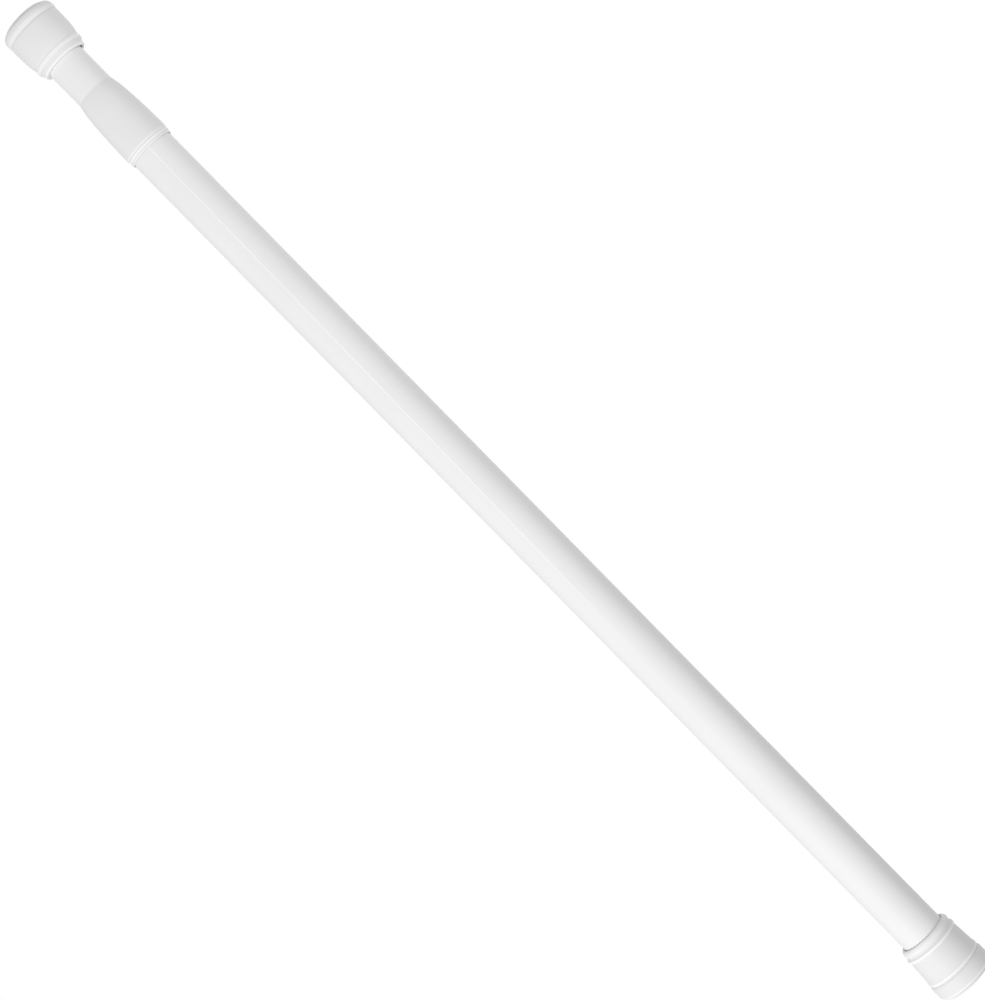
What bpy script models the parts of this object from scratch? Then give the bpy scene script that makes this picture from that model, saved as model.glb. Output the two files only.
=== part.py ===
"""Extendable curtain rod: two telescoping steel tubes with a twist lock and a spring inside.

Metres. X runs along the rod from the wall face of the fixed end, and Z is up.
Built closed: the tubes are pushed together as far as they go, and the lock is tight.
"""

import math

import bmesh
import bpy

# Whole rod
closed_length = 0.700
extend_travel = 0.500
press_travel = 0.018
press_margin = 0.0011
fit_gap = 0.0003
edge_break = 0.0003

# Tubes
outer_tube_radius = 0.0125
inner_tube_radius = 0.011
tube_wall = 0.0005
seam_width = 0.0012
seam_height = 0.00012
seam_angle = math.radians(6)
crimp_depth = 0.0004
crimp_width = 0.004
crimp_flat = 0.0016

# Collar over the mouth of the outer tube, heights and walls measured from its two bores
collar_length = 0.045
collar_socket = 0.0255
collar_wall = 0.00095
collar_shoulder_wall = 0.00048
collar_lip_length = 0.0018
collar_lip_height = 0.0004
collar_groove_width = 0.0007
collar_groove_height = 0.0002
collar_ridge_length = 0.0024
collar_ridge_height = 0.00068
collar_swell = 0.0025
collar_nose_length = 0.006
collar_nose_wall = 0.0012
collar_tip_wall = 0.00035

# Fixed end, distances from its wall face
fixed_pad_radius = 0.0171
fixed_pad_depth = 0.0108
fixed_cap_length = 0.0353
fixed_rim_radius = 0.0164
fixed_cup_radius = 0.0156
fixed_cup_end = 0.0220
fixed_thin_bead_radius = 0.01562
fixed_groove_radius = 0.01495
fixed_groove_end = 0.0264
fixed_broad_bead_radius = 0.01575
fixed_mouth_radius = 0.0143

# Moving end, distances from its wall face
moving_pad_radius = 0.0163
moving_pad_depth = 0.0070
moving_cap_length = 0.0339
moving_rim_radius = 0.01578
moving_cup_radius = 0.01445
moving_cup_end = 0.0249
moving_thin_bead_radius = 0.0148
moving_neck_radius = 0.01414
moving_mouth_radius = 0.01300
moving_socket_clearance = 0.00125

# Both ends
pad_face_share = 0.79
pad_round_depth = 0.0045
pad_face_lip = 0.0009
pad_face_step = 0.0005
pad_lip = 0.0007
grip_ring_inset = 0.0028
grip_ring_width = 0.0012
grip_ring_depth = 0.0005
skirt_depth = 0.0026
spigot_inset = 0.0024
web_thickness = 0.0030
rim_setback = 0.0022
rim_edge = 0.0006
bead_width = 0.0019
bead_notch = 0.0003

# Plug in the end of the inner tube, and its screw
plug_flange = 0.003
plug_length = 0.020
plug_lead = 0.0012
screw_length = 0.0125
screw_radius = 0.0015
screw_head_radius = 0.0035
screw_head_height = 0.0011
screw_head_edge = 0.0007

# Twist lock
thread_pitch = 0.003
thread_radius = 0.004
lock_turns = 1.0
jaw_travel = 0.0005
wedge_radius = 0.0096
wedge_length = 0.020
wedge_head = 0.002
wedge_bore_length = 0.0005
fin_thickness = 0.0010
jaw_web = 0.0045
jaw_grip_depth = 0.0004
jaw_grip_width = 0.0010
jaw_grips = 4
groove_slope = 0.0001
ring_section_radius = 0.0005
ring_groove_depth = 0.0013
key_width = 0.003
key_height = 0.0012
carrier_length = 0.006
carrier_flange = 0.002
carrier_waist_radius = 0.008
washer_thickness = 0.001
stop_washer_radius = 0.006
stop_screw_length = 0.009
thrust_collar_radius = 0.0095
thrust_collar_length = 0.004

# Stem and spring: the spring fills the room that the closed length and the travel leave
stem_flats = 0.0086
stem_end_length = 0.010
nut_flats = 0.013
nut_height = 0.0065
stem_washer_radius = 0.008
bush_flange = 0.004
bush_plug = 0.020
wire_radius = 0.001
coil_radius = 0.0085
coil_turns = 11

# Facets: steps round a visible piece and a hidden one, and along each kind of curve
outside_steps = 36
inside_steps = 24
ease_steps = 3
bead_steps = 3
round_steps = 4
coil_steps = 10
ring_steps = 7

# Worked out across the rod
outer_bore_radius = outer_tube_radius - tube_wall
inner_bore_radius = inner_tube_radius - tube_wall
slide_radius = outer_bore_radius - fit_gap
plug_radius = inner_bore_radius - fit_gap
socket_radius = outer_tube_radius + fit_gap
moving_socket_radius = inner_tube_radius + moving_socket_clearance
thread_bore_radius = thread_radius + fit_gap
shank_radius = thread_bore_radius
carrier_bore_radius = shank_radius + fit_gap
split_half = fin_thickness / 2 + fit_gap + jaw_travel

# Worked out along the rod, from the fixed wall face
fixed_web_end = fixed_pad_depth - skirt_depth + fit_gap + web_thickness
moving_web_start = moving_pad_depth - skirt_depth + fit_gap
moving_web_end = moving_web_start + web_thickness
lock_start = fixed_web_end + fit_gap
outer_tube_start = fixed_web_end + fit_gap
collar_end = closed_length - moving_cap_length - press_travel - press_margin
collar_start = collar_end - collar_length
collar_shoulder = collar_start + collar_socket
outer_tube_end = collar_shoulder - fit_gap
inner_tube_end = closed_length - moving_web_end - plug_flange - 2 * fit_gap
bush_start = collar_shoulder - fit_gap - extend_travel - bush_flange
inner_tube_start = bush_start + bush_flange + fit_gap
bush_end = inner_tube_start + bush_plug

# Worked out along the lock, from its own start
stop_washer_start = screw_head_height + fit_gap
spindle_start = stop_washer_start + washer_thickness + fit_gap
wedge_travel = thread_pitch * lock_turns
wedge_start = spindle_start + fit_gap + wedge_travel
wedge_end = wedge_start + wedge_length
wedge_slope = jaw_travel / wedge_travel
jaw_start = wedge_start + wedge_head + wedge_bore_length
jaw_web_start = wedge_end + wedge_bore_length
jaw_end = jaw_web_start + jaw_web
carrier_start = jaw_end + fit_gap
thrust_washer_start = carrier_start + carrier_length + fit_gap
thrust_collar_start = thrust_washer_start + washer_thickness + fit_gap
spring_start = thrust_collar_start + thrust_collar_length + fit_gap
spring_length = bush_start - fit_gap - lock_start - spring_start
stem_shoulder = bush_end + fit_gap - lock_start
stem_nut_start = stem_shoulder + washer_thickness + fit_gap


def clear_scene():
    for obj in list(bpy.data.objects):
        bpy.data.objects.remove(obj)


def new_collection(name, helper=False):
    collection = bpy.data.collections.new(name)
    collection.hide_render = helper
    bpy.context.scene.collection.children.link(collection)
    return collection


def new_material(name, color, roughness, metallic=0.0):
    material = bpy.data.materials.new(name)
    material.use_nodes = True
    shader = material.node_tree.nodes["Principled BSDF"]
    shader.inputs["Base Color"].default_value = (*color, 1.0)
    shader.inputs["Roughness"].default_value = roughness
    shader.inputs["Metallic"].default_value = metallic
    return material


def new_body(name, x, parent=None):
    """An empty on the rod's axis that carries the pieces moving together."""
    body = bpy.data.objects.new(name, None)
    rod.objects.link(body)
    body.parent = parent
    body.location.x = x - (parent.matrix_world.translation.x if parent else 0.0)
    bpy.context.view_layer.update()
    return body


def turned(name, outline, steps, ring=False):
    """A turned solid from (radius, height) points, its outer side from top to bottom.

    Its own Z is the turning axis. A ring's outline is closed, any other ends on the axis.
    """
    mesh = bpy.data.meshes.new(name)
    shape = bmesh.new()
    points = [shape.verts.new((radius, 0.0, height)) for radius, height in outline]
    for first, second in zip(points, points[1:]):
        shape.edges.new((first, second))
    if ring:
        shape.edges.new((points[-1], points[0]))
    shape.to_mesh(mesh)
    shape.free()
    obj = bpy.data.objects.new(name, mesh)
    rod.objects.link(obj)
    screw = obj.modifiers.new("Turn", "SCREW")
    screw.steps = steps
    screw.render_steps = steps
    screw.use_merge_vertices = True
    screw.merge_threshold = 0.00001
    return obj


def bar_cutter(name, size, centre):
    """A box to cut or join with, in the rod's own directions."""
    mesh = bpy.data.meshes.new(name)
    shape = bmesh.new()
    bmesh.ops.create_cube(shape, size=1.0)
    bmesh.ops.scale(shape, vec=size, verts=shape.verts)
    bmesh.ops.translate(shape, vec=centre, verts=shape.verts)
    shape.to_mesh(mesh)
    shape.free()
    return helper_object(name, mesh)


def prism_cutter(name, sides, radius, start, end):
    """A straight prism along the rod to cut or join with, from start to end."""
    mesh = bpy.data.meshes.new(name)
    shape = bmesh.new()
    bmesh.ops.create_cone(
        shape,
        cap_ends=True,
        segments=sides,
        radius1=radius,
        radius2=radius,
        depth=end - start,
    )
    shape.to_mesh(mesh)
    shape.free()
    obj = helper_object(name, mesh)
    obj.rotation_euler.y = math.pi / 2
    obj.location.x = (start + end) / 2
    return obj


def helper_object(name, mesh):
    obj = bpy.data.objects.new(name, mesh)
    cutters.objects.link(obj)
    obj.hide_render = True
    obj.display_type = "WIRE"
    return obj


def combine(obj, other, operation):
    boolean = obj.modifiers.new(other.name, "BOOLEAN")
    boolean.operation = operation
    boolean.solver = "EXACT"
    boolean.object = other


def place(obj, body, x, facing=1):
    """Puts a piece on the rod's axis, its own Z along X or, with facing -1, against it."""
    obj.parent = body
    obj.rotation_euler.y = facing * math.pi / 2
    obj.location.x = x - body.matrix_world.translation.x


def finish(obj, material, sharp_angle=35):
    """Keeps the evaluated shape, shaded smooth up to its real edges."""
    bpy.context.view_layer.update()
    graph = bpy.context.evaluated_depsgraph_get()
    mesh = bpy.data.meshes.new_from_object(obj.evaluated_get(graph))
    obj.modifiers.clear()
    obj.data = mesh
    mesh.name = obj.name
    mesh.shade_smooth()
    mesh.set_sharp_from_angle(angle=math.radians(sharp_angle))
    mesh.materials.clear()
    mesh.materials.append(material)
    return obj


def eased(start, end, steps):
    """Points from start to end, level at both, leaving out the end."""
    points = []
    for step in range(steps):
        share = step / steps
        rise = (1 - math.cos(math.pi * share)) / 2
        radius = start[0] + (end[0] - start[0]) * rise
        height = start[1] + (end[1] - start[1]) * share
        points.append((radius, height))
    return points


def rounded(centre, radii, first, last, steps):
    """Points on an ellipse's arc round centre, between two angles in degrees from outward."""
    points = []
    for step in range(steps + 1):
        angle = math.radians(first + (last - first) * step / steps)
        radius = centre[0] + radii[0] * math.cos(angle)
        height = centre[1] + radii[1] * math.sin(angle)
        points.append((radius, height))
    return points


def ring_outline(outside, inside, top, bottom=0.0):
    return [(outside, top), (outside, bottom), (inside, bottom), (inside, top)]


def crimped_line(radius, crimps):
    """The side of a tube from the far end to the near one, with a rolled groove at each crimp."""
    line = []
    for centre in sorted(crimps, reverse=True):
        line.append((radius, centre + crimp_width / 2))
        line.append((radius - crimp_depth, centre + crimp_flat / 2))
        line.append((radius - crimp_depth, centre - crimp_flat / 2))
        line.append((radius, centre - crimp_width / 2))
    return line


def tube(name, radius, length, crimps=()):
    """A thin steel tube with the fine ridge of its lengthwise weld."""
    bore = radius - tube_wall
    outline = [(radius, length), *crimped_line(radius, crimps), (radius, 0.0)]
    outline += [(bore, 0.0), *reversed(crimped_line(bore, crimps)), (bore, length)]
    return turned(name, outline, outside_steps, ring=True)


def build_outer_tube():
    length = outer_tube_end - outer_tube_start
    obj = tube("outer_tube", outer_tube_radius, length)
    place(obj, outer_body, outer_tube_start)
    depth = tube_wall + seam_height
    seam = bar_cutter("outer_seam", (length, depth, seam_width), (0.0, 0.0, 0.0))
    middle = outer_tube_radius + seam_height - depth / 2
    seam.rotation_euler.x = -seam_angle
    seam.location.x = (outer_tube_start + outer_tube_end) / 2
    seam.location.y = -middle * math.cos(seam_angle)
    seam.location.z = middle * math.sin(seam_angle)
    combine(obj, seam, "UNION")
    return finish(obj, painted_steel)


def build_inner_tube():
    obj = tube(
        "inner_tube",
        inner_tube_radius,
        inner_tube_end - inner_tube_start,
        crimps=[bush_plug / 2],
    )
    place(obj, inner_body, inner_tube_start)
    return finish(obj, painted_steel)


def collar_outline():
    """From the nose over the outside to the lip, then back through the stepped bore."""
    nose_bore = inner_tube_radius + fit_gap
    tip = nose_bore + collar_tip_wall
    nose = nose_bore + collar_nose_wall
    shoulder = socket_radius + collar_shoulder_wall
    full = socket_radius + collar_wall
    ridge_start = collar_lip_length + collar_groove_width
    ridge_end = ridge_start + collar_ridge_length
    nose_start = collar_length - collar_nose_length
    points = rounded((tip, nose_start), (nose - tip, collar_nose_length), 90, 0, ease_steps)
    points += eased((nose, nose_start), (shoulder, collar_socket), ease_steps)[1:]
    points += eased((shoulder, collar_socket), (full, ridge_end + collar_swell), ease_steps)
    points += [
        (full, ridge_end + collar_swell),
        (full, ridge_end + edge_break),
        (socket_radius + collar_ridge_height, ridge_end),
        (socket_radius + collar_ridge_height, ridge_start),
        (socket_radius + collar_groove_height, collar_lip_length + collar_groove_width / 2),
        (socket_radius + collar_lip_height, collar_lip_length),
        (socket_radius + collar_lip_height, collar_lip_height / 2),
        (socket_radius + collar_lip_height / 2, 0.0),
        (socket_radius, 0.0),
        (socket_radius, collar_socket),
        (nose_bore, collar_socket),
        (nose_bore, collar_length),
    ]
    return points


def build_collar():
    obj = turned("joint_collar", collar_outline(), outside_steps, ring=True)
    place(obj, outer_body, collar_start)
    return finish(obj, white_plastic)


def pad_outline(radius, depth):
    """A soft foot: a flat face with a grip ring, a round edge, and a skirt round the cap's spigot."""
    face = radius * pad_face_share
    ring = face - grip_ring_inset
    recess = radius - spigot_inset + fit_gap
    floor = depth - skirt_depth
    round_base = (face + pad_face_step, pad_round_depth)
    round_size = (radius - face - pad_face_step, pad_round_depth - pad_face_lip)
    points = [
        (0.0, floor),
        (recess, floor),
        (recess, depth),
        (radius - pad_lip, depth),
        (radius - pad_lip / 4, depth - pad_lip),
    ]
    points += rounded(round_base, round_size, 0, -90, round_steps)
    points += [
        (face, pad_face_lip),
        (face, 0.0),
        (ring + grip_ring_width, 0.0),
        (ring + grip_ring_width / 2, grip_ring_depth),
        (ring, 0.0),
        (0.0, 0.0),
    ]
    return points


def build_fixed_pad():
    obj = turned("fixed_end_pad", pad_outline(fixed_pad_radius, fixed_pad_depth), outside_steps)
    place(obj, outer_body, 0.0)
    return finish(obj, soft_plastic)


def build_moving_pad():
    obj = turned("moving_end_pad", pad_outline(moving_pad_radius, moving_pad_depth), outside_steps)
    place(obj, inner_body, closed_length, facing=-1)
    return finish(obj, soft_plastic)


def cup_line(cup_radius, cup_end, thin_bead_radius, rim_radius, pad_radius, pad_depth):
    """The shared run of both caps: thin bead, notch, cup, rim and the spigot in the pad."""
    spigot = pad_radius - spigot_inset
    rim_end = pad_depth + fit_gap + rim_setback
    bead_middle = cup_end + bead_notch + bead_width / 2
    bead_base = cup_radius - bead_notch
    bead_size = (thin_bead_radius - bead_base, bead_width / 2)
    points = rounded((bead_base, bead_middle), bead_size, 90, -90, bead_steps)
    points += eased((cup_radius, cup_end), (rim_radius, rim_end), ease_steps)
    points += [
        (rim_radius, rim_end),
        (rim_radius - rim_edge / 4, pad_depth + fit_gap + rim_edge),
        (rim_radius - rim_edge, pad_depth + fit_gap),
        (spigot, pad_depth + fit_gap),
        (spigot, pad_depth - skirt_depth + fit_gap),
    ]
    return points


def build_fixed_cap():
    """A moulded cup pushed over the end of the outer tube, with a broad bead at its mouth."""
    bead_peak = fixed_groove_end + bead_width
    bead_size = (fixed_broad_bead_radius - fixed_groove_radius, bead_width)
    mouth = (fixed_mouth_radius, fixed_cap_length - edge_break)
    outline = [
        (0.0, fixed_web_end),
        (socket_radius, fixed_web_end),
        (socket_radius, fixed_cap_length),
        (fixed_mouth_radius - edge_break, fixed_cap_length),
    ]
    outline += eased(mouth, (fixed_broad_bead_radius, bead_peak), round_steps)
    outline += rounded((fixed_groove_radius, bead_peak), bead_size, 0, -90, bead_steps)
    outline += cup_line(
        fixed_cup_radius,
        fixed_cup_end,
        fixed_thin_bead_radius,
        fixed_rim_radius,
        fixed_pad_radius,
        fixed_pad_depth,
    )
    outline += [(0.0, fixed_pad_depth - skirt_depth + fit_gap)]
    obj = turned("fixed_end_cap", outline, outside_steps)
    place(obj, outer_body, 0.0)
    return finish(obj, white_plastic)


def build_moving_cap():
    """A moulded cup held by a screw to the plug, standing clear of the thinner tube."""
    hole = screw_radius + fit_gap
    counterbore = screw_head_radius + fit_gap
    seat = moving_web_start + screw_head_height + 2 * fit_gap
    mouth = (moving_mouth_radius, moving_cap_length - edge_break)
    neck = (moving_neck_radius, moving_cup_end + 2 * bead_width)
    outline = [
        (hole, moving_web_end),
        (moving_socket_radius, moving_web_end),
        (moving_socket_radius, moving_cap_length),
        (moving_mouth_radius - edge_break, moving_cap_length),
    ]
    outline += eased(mouth, neck, ease_steps)
    outline += [neck]
    outline += cup_line(
        moving_cup_radius,
        moving_cup_end,
        moving_thin_bead_radius,
        moving_rim_radius,
        moving_pad_radius,
        moving_pad_depth,
    )
    outline += [(counterbore, moving_web_start), (counterbore, seat), (hole, seat)]
    obj = turned("moving_end_cap", outline, outside_steps, ring=True)
    place(obj, inner_body, closed_length, facing=-1)
    return finish(obj, white_plastic)


def screw_outline(length, radius, head_radius, head_height):
    """A screw with its head at the bottom and a pointed end at the top."""
    return [
        (0.0, head_height + length),
        (radius, head_height + length - radius),
        (radius, head_height),
        (head_radius, head_height),
        (head_radius, head_height / 2),
        (head_radius - screw_head_edge, 0.0),
        (0.0, 0.0),
    ]


def build_moving_plug():
    """A plastic plug in the inner tube's end, with a flange that the cap is screwed to."""
    hole = screw_radius + fit_gap
    hole_end = screw_length + 2 * fit_gap
    length = plug_flange + fit_gap + plug_length
    outline = [
        (0.0, length),
        (plug_radius - plug_lead / 2, length),
        (plug_radius, length - plug_lead),
        (plug_radius, plug_flange),
        (moving_socket_radius - fit_gap, plug_flange),
        (moving_socket_radius - fit_gap, 0.0),
        (hole, 0.0),
        (hole, hole_end),
        (0.0, hole_end),
    ]
    obj = turned("moving_end_plug", outline, inside_steps)
    place(obj, inner_body, closed_length - moving_web_end - fit_gap, facing=-1)
    return finish(obj, dark_plastic)


def build_cap_screw():
    outline = screw_outline(screw_length, screw_radius, screw_head_radius, screw_head_height)
    obj = turned("cap_screw", outline, inside_steps)
    place(obj, inner_body, closed_length - moving_web_start - fit_gap, facing=-1)
    return finish(obj, plated_steel)


def washer(name, outside, inside, body, start):
    outline = ring_outline(outside, inside, washer_thickness)
    obj = turned(name, outline, inside_steps, ring=True)
    place(obj, body, lock_start + start)
    return finish(obj, plated_steel)


def build_stop_screw():
    outline = screw_outline(stop_screw_length, screw_radius, screw_head_radius, screw_head_height)
    obj = turned("stop_screw", outline, inside_steps)
    place(obj, spindle_body, lock_start)
    return finish(obj, plated_steel)


def build_wedge():
    """The travelling nut: a cone that spreads the jaws, kept from turning by two fins."""
    cone_length = wedge_length - wedge_head
    outline = [
        (0.0, wedge_length),
        (wedge_radius - cone_length * wedge_slope, wedge_length),
        (wedge_radius, wedge_head),
        (wedge_radius, 0.0),
        (0.0, 0.0),
    ]
    obj = turned("wedge_nut", outline, inside_steps)
    start = lock_start + wedge_start
    place(obj, wedge_body, start)
    fin_span = 2 * (slide_radius - ring_groove_depth)
    fin_size = (wedge_length - 2 * fit_gap, fin_span, fin_thickness)
    fins = bar_cutter("wedge_fins", fin_size, (start + wedge_length / 2, 0.0, 0.0))
    end = start + wedge_length + fit_gap
    bore = prism_cutter("wedge_bore", inside_steps, thread_bore_radius, start - fit_gap, end)
    combine(obj, fins, "UNION")
    combine(obj, bore, "DIFFERENCE")
    return finish(obj, dark_plastic)


def jaw_outline():
    """The sleeve that both jaws are halves of: grip grooves outside, the wedge's cone inside."""
    length = jaw_end - jaw_start
    cone_end = jaw_web_start - jaw_start
    bore_start = wedge_radius + fit_gap - wedge_bore_length * wedge_slope
    bore_end = bore_start - cone_end * wedge_slope
    middle = length / 2
    ring_half = ring_section_radius + fit_gap
    spacing = length / (jaw_grips + 1)
    grooves = [(middle, ring_half, ring_groove_depth)]
    for number in range(jaw_grips):
        grooves.append((spacing * (number + 1), jaw_grip_width / 2, jaw_grip_depth))
    outline = [(slide_radius - edge_break, length), (slide_radius, length - edge_break)]
    for centre, half, depth in sorted(grooves, reverse=True):
        outline += [
            (slide_radius, centre + half),
            (slide_radius - depth, centre + half - groove_slope),
            (slide_radius - depth, centre - half + groove_slope),
            (slide_radius, centre - half),
        ]
    web_bore = shank_radius + jaw_travel + 2 * fit_gap
    outline += [
        (slide_radius, edge_break),
        (slide_radius - edge_break, 0.0),
        (bore_start, 0.0),
        (bore_end, cone_end),
        (web_bore, cone_end),
        (web_bore, length),
    ]
    return outline


def build_jaw(name, body, side):
    """Half of the split sleeve: side is 1 for the upper jaw and -1 for the lower one."""
    start = lock_start + jaw_start
    end = lock_start + jaw_end
    obj = turned(name, jaw_outline(), inside_steps, ring=True)
    place(obj, body, start)
    reach = 2 * outer_tube_radius
    half_centre = ((start + end) / 2, 0.0, side * (split_half + reach / 2))
    half = bar_cutter(name + "_half", (2 * (end - start), 2 * reach, reach), half_centre)
    slot_depth = key_height + fit_gap
    slot_size = (2 * slot_depth, key_width + 2 * fit_gap, reach)
    slot = bar_cutter(name + "_slot", slot_size, (end, 0.0, side * reach / 2))
    combine(obj, half, "INTERSECT")
    combine(obj, slot, "DIFFERENCE")
    return finish(obj, dark_plastic)


def build_jaw_ring():
    """The rubber ring that draws both jaws back onto the wedge."""
    centre = slide_radius - ring_groove_depth + fit_gap + ring_section_radius
    radii = (ring_section_radius, ring_section_radius)
    outline = rounded((centre, 0.0), radii, 90, -225, ring_steps)
    obj = turned("jaw_ring", outline, inside_steps, ring=True)
    place(obj, lock_body, lock_start + (jaw_start + jaw_end) / 2)
    return finish(obj, black_rubber, sharp_angle=80)


def build_carrier():
    """The spool that guides the lock in the tube; its two keys guide the jaws."""
    outline = [
        (slide_radius, carrier_length),
        (slide_radius, carrier_length - carrier_flange),
        (carrier_waist_radius, carrier_length - carrier_flange),
        (carrier_waist_radius, carrier_flange),
        (slide_radius, carrier_flange),
        (slide_radius, 0.0),
        (carrier_bore_radius, 0.0),
        (carrier_bore_radius, carrier_length),
    ]
    obj = turned("jaw_carrier", outline, inside_steps, ring=True)
    start = lock_start + carrier_start
    place(obj, lock_body, start)
    inner = carrier_bore_radius + jaw_travel + fit_gap
    outer = slide_radius - jaw_travel - fit_gap
    size = (key_height + carrier_flange / 2, key_width, outer - inner)
    x = start - key_height + size[0] / 2
    for side in (1, -1):
        key = bar_cutter("carrier_key", size, (x, 0.0, side * (outer + inner) / 2))
        combine(obj, key, "UNION")
    return finish(obj, dark_plastic)


def build_spindle():
    """The threaded stud, its thrust collar and the six-sided stem that the bush turns."""
    hole = screw_radius + fit_gap
    hole_end = spindle_start + stop_screw_length
    stem_end = stem_shoulder + stem_end_length
    hex_radius = stem_flats / 2 / math.cos(math.pi / 6)
    stem_core = stem_flats / 2 - fit_gap
    outline = [
        (0.0, stem_end),
        (stem_core - edge_break, stem_end),
        (stem_core, stem_end - edge_break),
        (stem_core, thrust_collar_start + thrust_collar_length),
        (thrust_collar_radius, thrust_collar_start + thrust_collar_length),
        (thrust_collar_radius, thrust_collar_start),
        (shank_radius, thrust_collar_start),
        (shank_radius, jaw_web_start + fit_gap),
        (thread_radius, jaw_web_start + fit_gap),
        (thread_radius, spindle_start),
        (hole, spindle_start),
        (hole, hole_end),
        (0.0, hole_end),
    ]
    obj = turned("lock_spindle", outline, inside_steps)
    place(obj, spindle_body, lock_start)
    stem_start = lock_start + thrust_collar_start + thrust_collar_length / 2
    stem = prism_cutter("stem_flats", 6, hex_radius, stem_start, lock_start + stem_shoulder)
    combine(obj, stem, "UNION")
    return finish(obj, plated_steel)


def build_stem_nut():
    start = lock_start + stem_nut_start
    nut_radius = nut_flats / 2 / math.cos(math.pi / 6)
    bore = stem_flats / 2
    shape = prism_cutter("nut_shape", 6, nut_radius, 0.0, nut_height)
    obj = bpy.data.objects.new("stem_nut", shape.data)
    rod.objects.link(obj)
    place(obj, spindle_body, start + nut_height / 2)
    end = start + nut_height + fit_gap
    hole = prism_cutter("nut_bore", inside_steps, bore, start - fit_gap, end)
    combine(obj, hole, "DIFFERENCE")
    return finish(obj, plated_steel)


def build_bush():
    """The bush crimped into the inner tube: its flange guides, its six-sided bore turns the stem."""
    middle = bush_flange + fit_gap + bush_plug / 2
    length = bush_flange + fit_gap + bush_plug
    outline = [
        (0.0, length),
        (plug_radius - plug_lead / 2, length),
        (plug_radius, length - plug_lead),
        *crimped_line(plug_radius, [middle]),
        (plug_radius, bush_flange),
        (slide_radius, bush_flange),
        (slide_radius, 0.0),
        (0.0, 0.0),
    ]
    obj = turned("guide_bush", outline, inside_steps)
    place(obj, inner_body, bush_start)
    hex_radius = (stem_flats / 2 + fit_gap) / math.cos(math.pi / 6)
    end = bush_start + length + fit_gap
    bore = prism_cutter("bush_bore", 6, hex_radius, bush_start - fit_gap, end)
    combine(obj, bore, "DIFFERENCE")
    return finish(obj, dark_plastic)


def build_spring():
    """A compression spring with closed ends, pushing the inner tube away from the lock."""
    closed_pitch = 2 * wire_radius + fit_gap
    open_turns = coil_turns - 2
    open_pitch = (spring_length - 2 * wire_radius - 2 * closed_pitch) / open_turns
    curve = bpy.data.curves.new("press_spring", "CURVE")
    curve.dimensions = "3D"
    curve.bevel_depth = wire_radius
    curve.bevel_resolution = 2
    curve.use_fill_caps = True
    spline = curve.splines.new("POLY")
    spline.points.add(coil_turns * coil_steps)
    along = 0.0
    for number, point in enumerate(spline.points):
        turn = number / coil_steps
        angle = 2 * math.pi * turn
        across = coil_radius * math.cos(angle)
        point.co = (coil_radius * math.sin(angle), across, along, 1.0)
        is_closed = turn < 1 or turn >= coil_turns - 1
        along += (closed_pitch if is_closed else open_pitch) / coil_steps
    obj = bpy.data.objects.new("press_spring", curve)
    rod.objects.link(obj)
    place(obj, spindle_body, lock_start + spring_start + wire_radius)
    curve.materials.append(spring_steel)
    return obj


clear_scene()
rod = new_collection("extendable_curtain_rod")
cutters = new_collection("cutters", helper=True)

painted_steel = new_material("white_painted_steel", (0.86, 0.86, 0.86), 0.32)
white_plastic = new_material("white_moulded_plastic", (0.88, 0.88, 0.88), 0.38)
soft_plastic = new_material("white_soft_plastic", (0.84, 0.84, 0.84), 0.55)
dark_plastic = new_material("dark_grey_nylon", (0.10, 0.10, 0.11), 0.45)
black_rubber = new_material("black_rubber", (0.02, 0.02, 0.02), 0.80)
plated_steel = new_material("zinc_plated_steel", (0.62, 0.63, 0.64), 0.35, 1.0)
spring_steel = new_material("spring_steel", (0.42, 0.42, 0.43), 0.30, 1.0)

outer_body = new_body("outer_body", 0.0)
lock_body = new_body("lock_body", lock_start, outer_body)
upper_jaw_body = new_body("upper_jaw_body", lock_start + jaw_start, lock_body)
lower_jaw_body = new_body("lower_jaw_body", lock_start + jaw_start, lock_body)
wedge_body = new_body("wedge_body", lock_start + wedge_start, lock_body)
spindle_body = new_body("spindle_body", lock_start + spindle_start, lock_body)
inner_body = new_body("inner_body", inner_tube_start, spindle_body)

build_outer_tube()
build_collar()
build_fixed_cap()
build_fixed_pad()

build_carrier()
build_jaw_ring()
build_jaw("upper_jaw", upper_jaw_body, 1)
build_jaw("lower_jaw", lower_jaw_body, -1)
build_wedge()

build_spindle()
washer("stop_washer", stop_washer_radius, screw_radius + fit_gap, spindle_body, stop_washer_start)
build_stop_screw()
washer("thrust_washer", thrust_collar_radius, carrier_bore_radius, spindle_body, thrust_washer_start)
washer("stem_washer", stem_washer_radius, stem_flats / 2, spindle_body, stem_shoulder)
build_stem_nut()
build_spring()

build_inner_tube()
build_bush()
build_moving_plug()
build_cap_screw()
build_moving_cap()
build_moving_pad()

for helper in list(cutters.objects):
    bpy.data.objects.remove(helper)
bpy.data.collections.remove(cutters)
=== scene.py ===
import math

import bmesh
import bpy
from mathutils import Matrix, Vector


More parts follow.
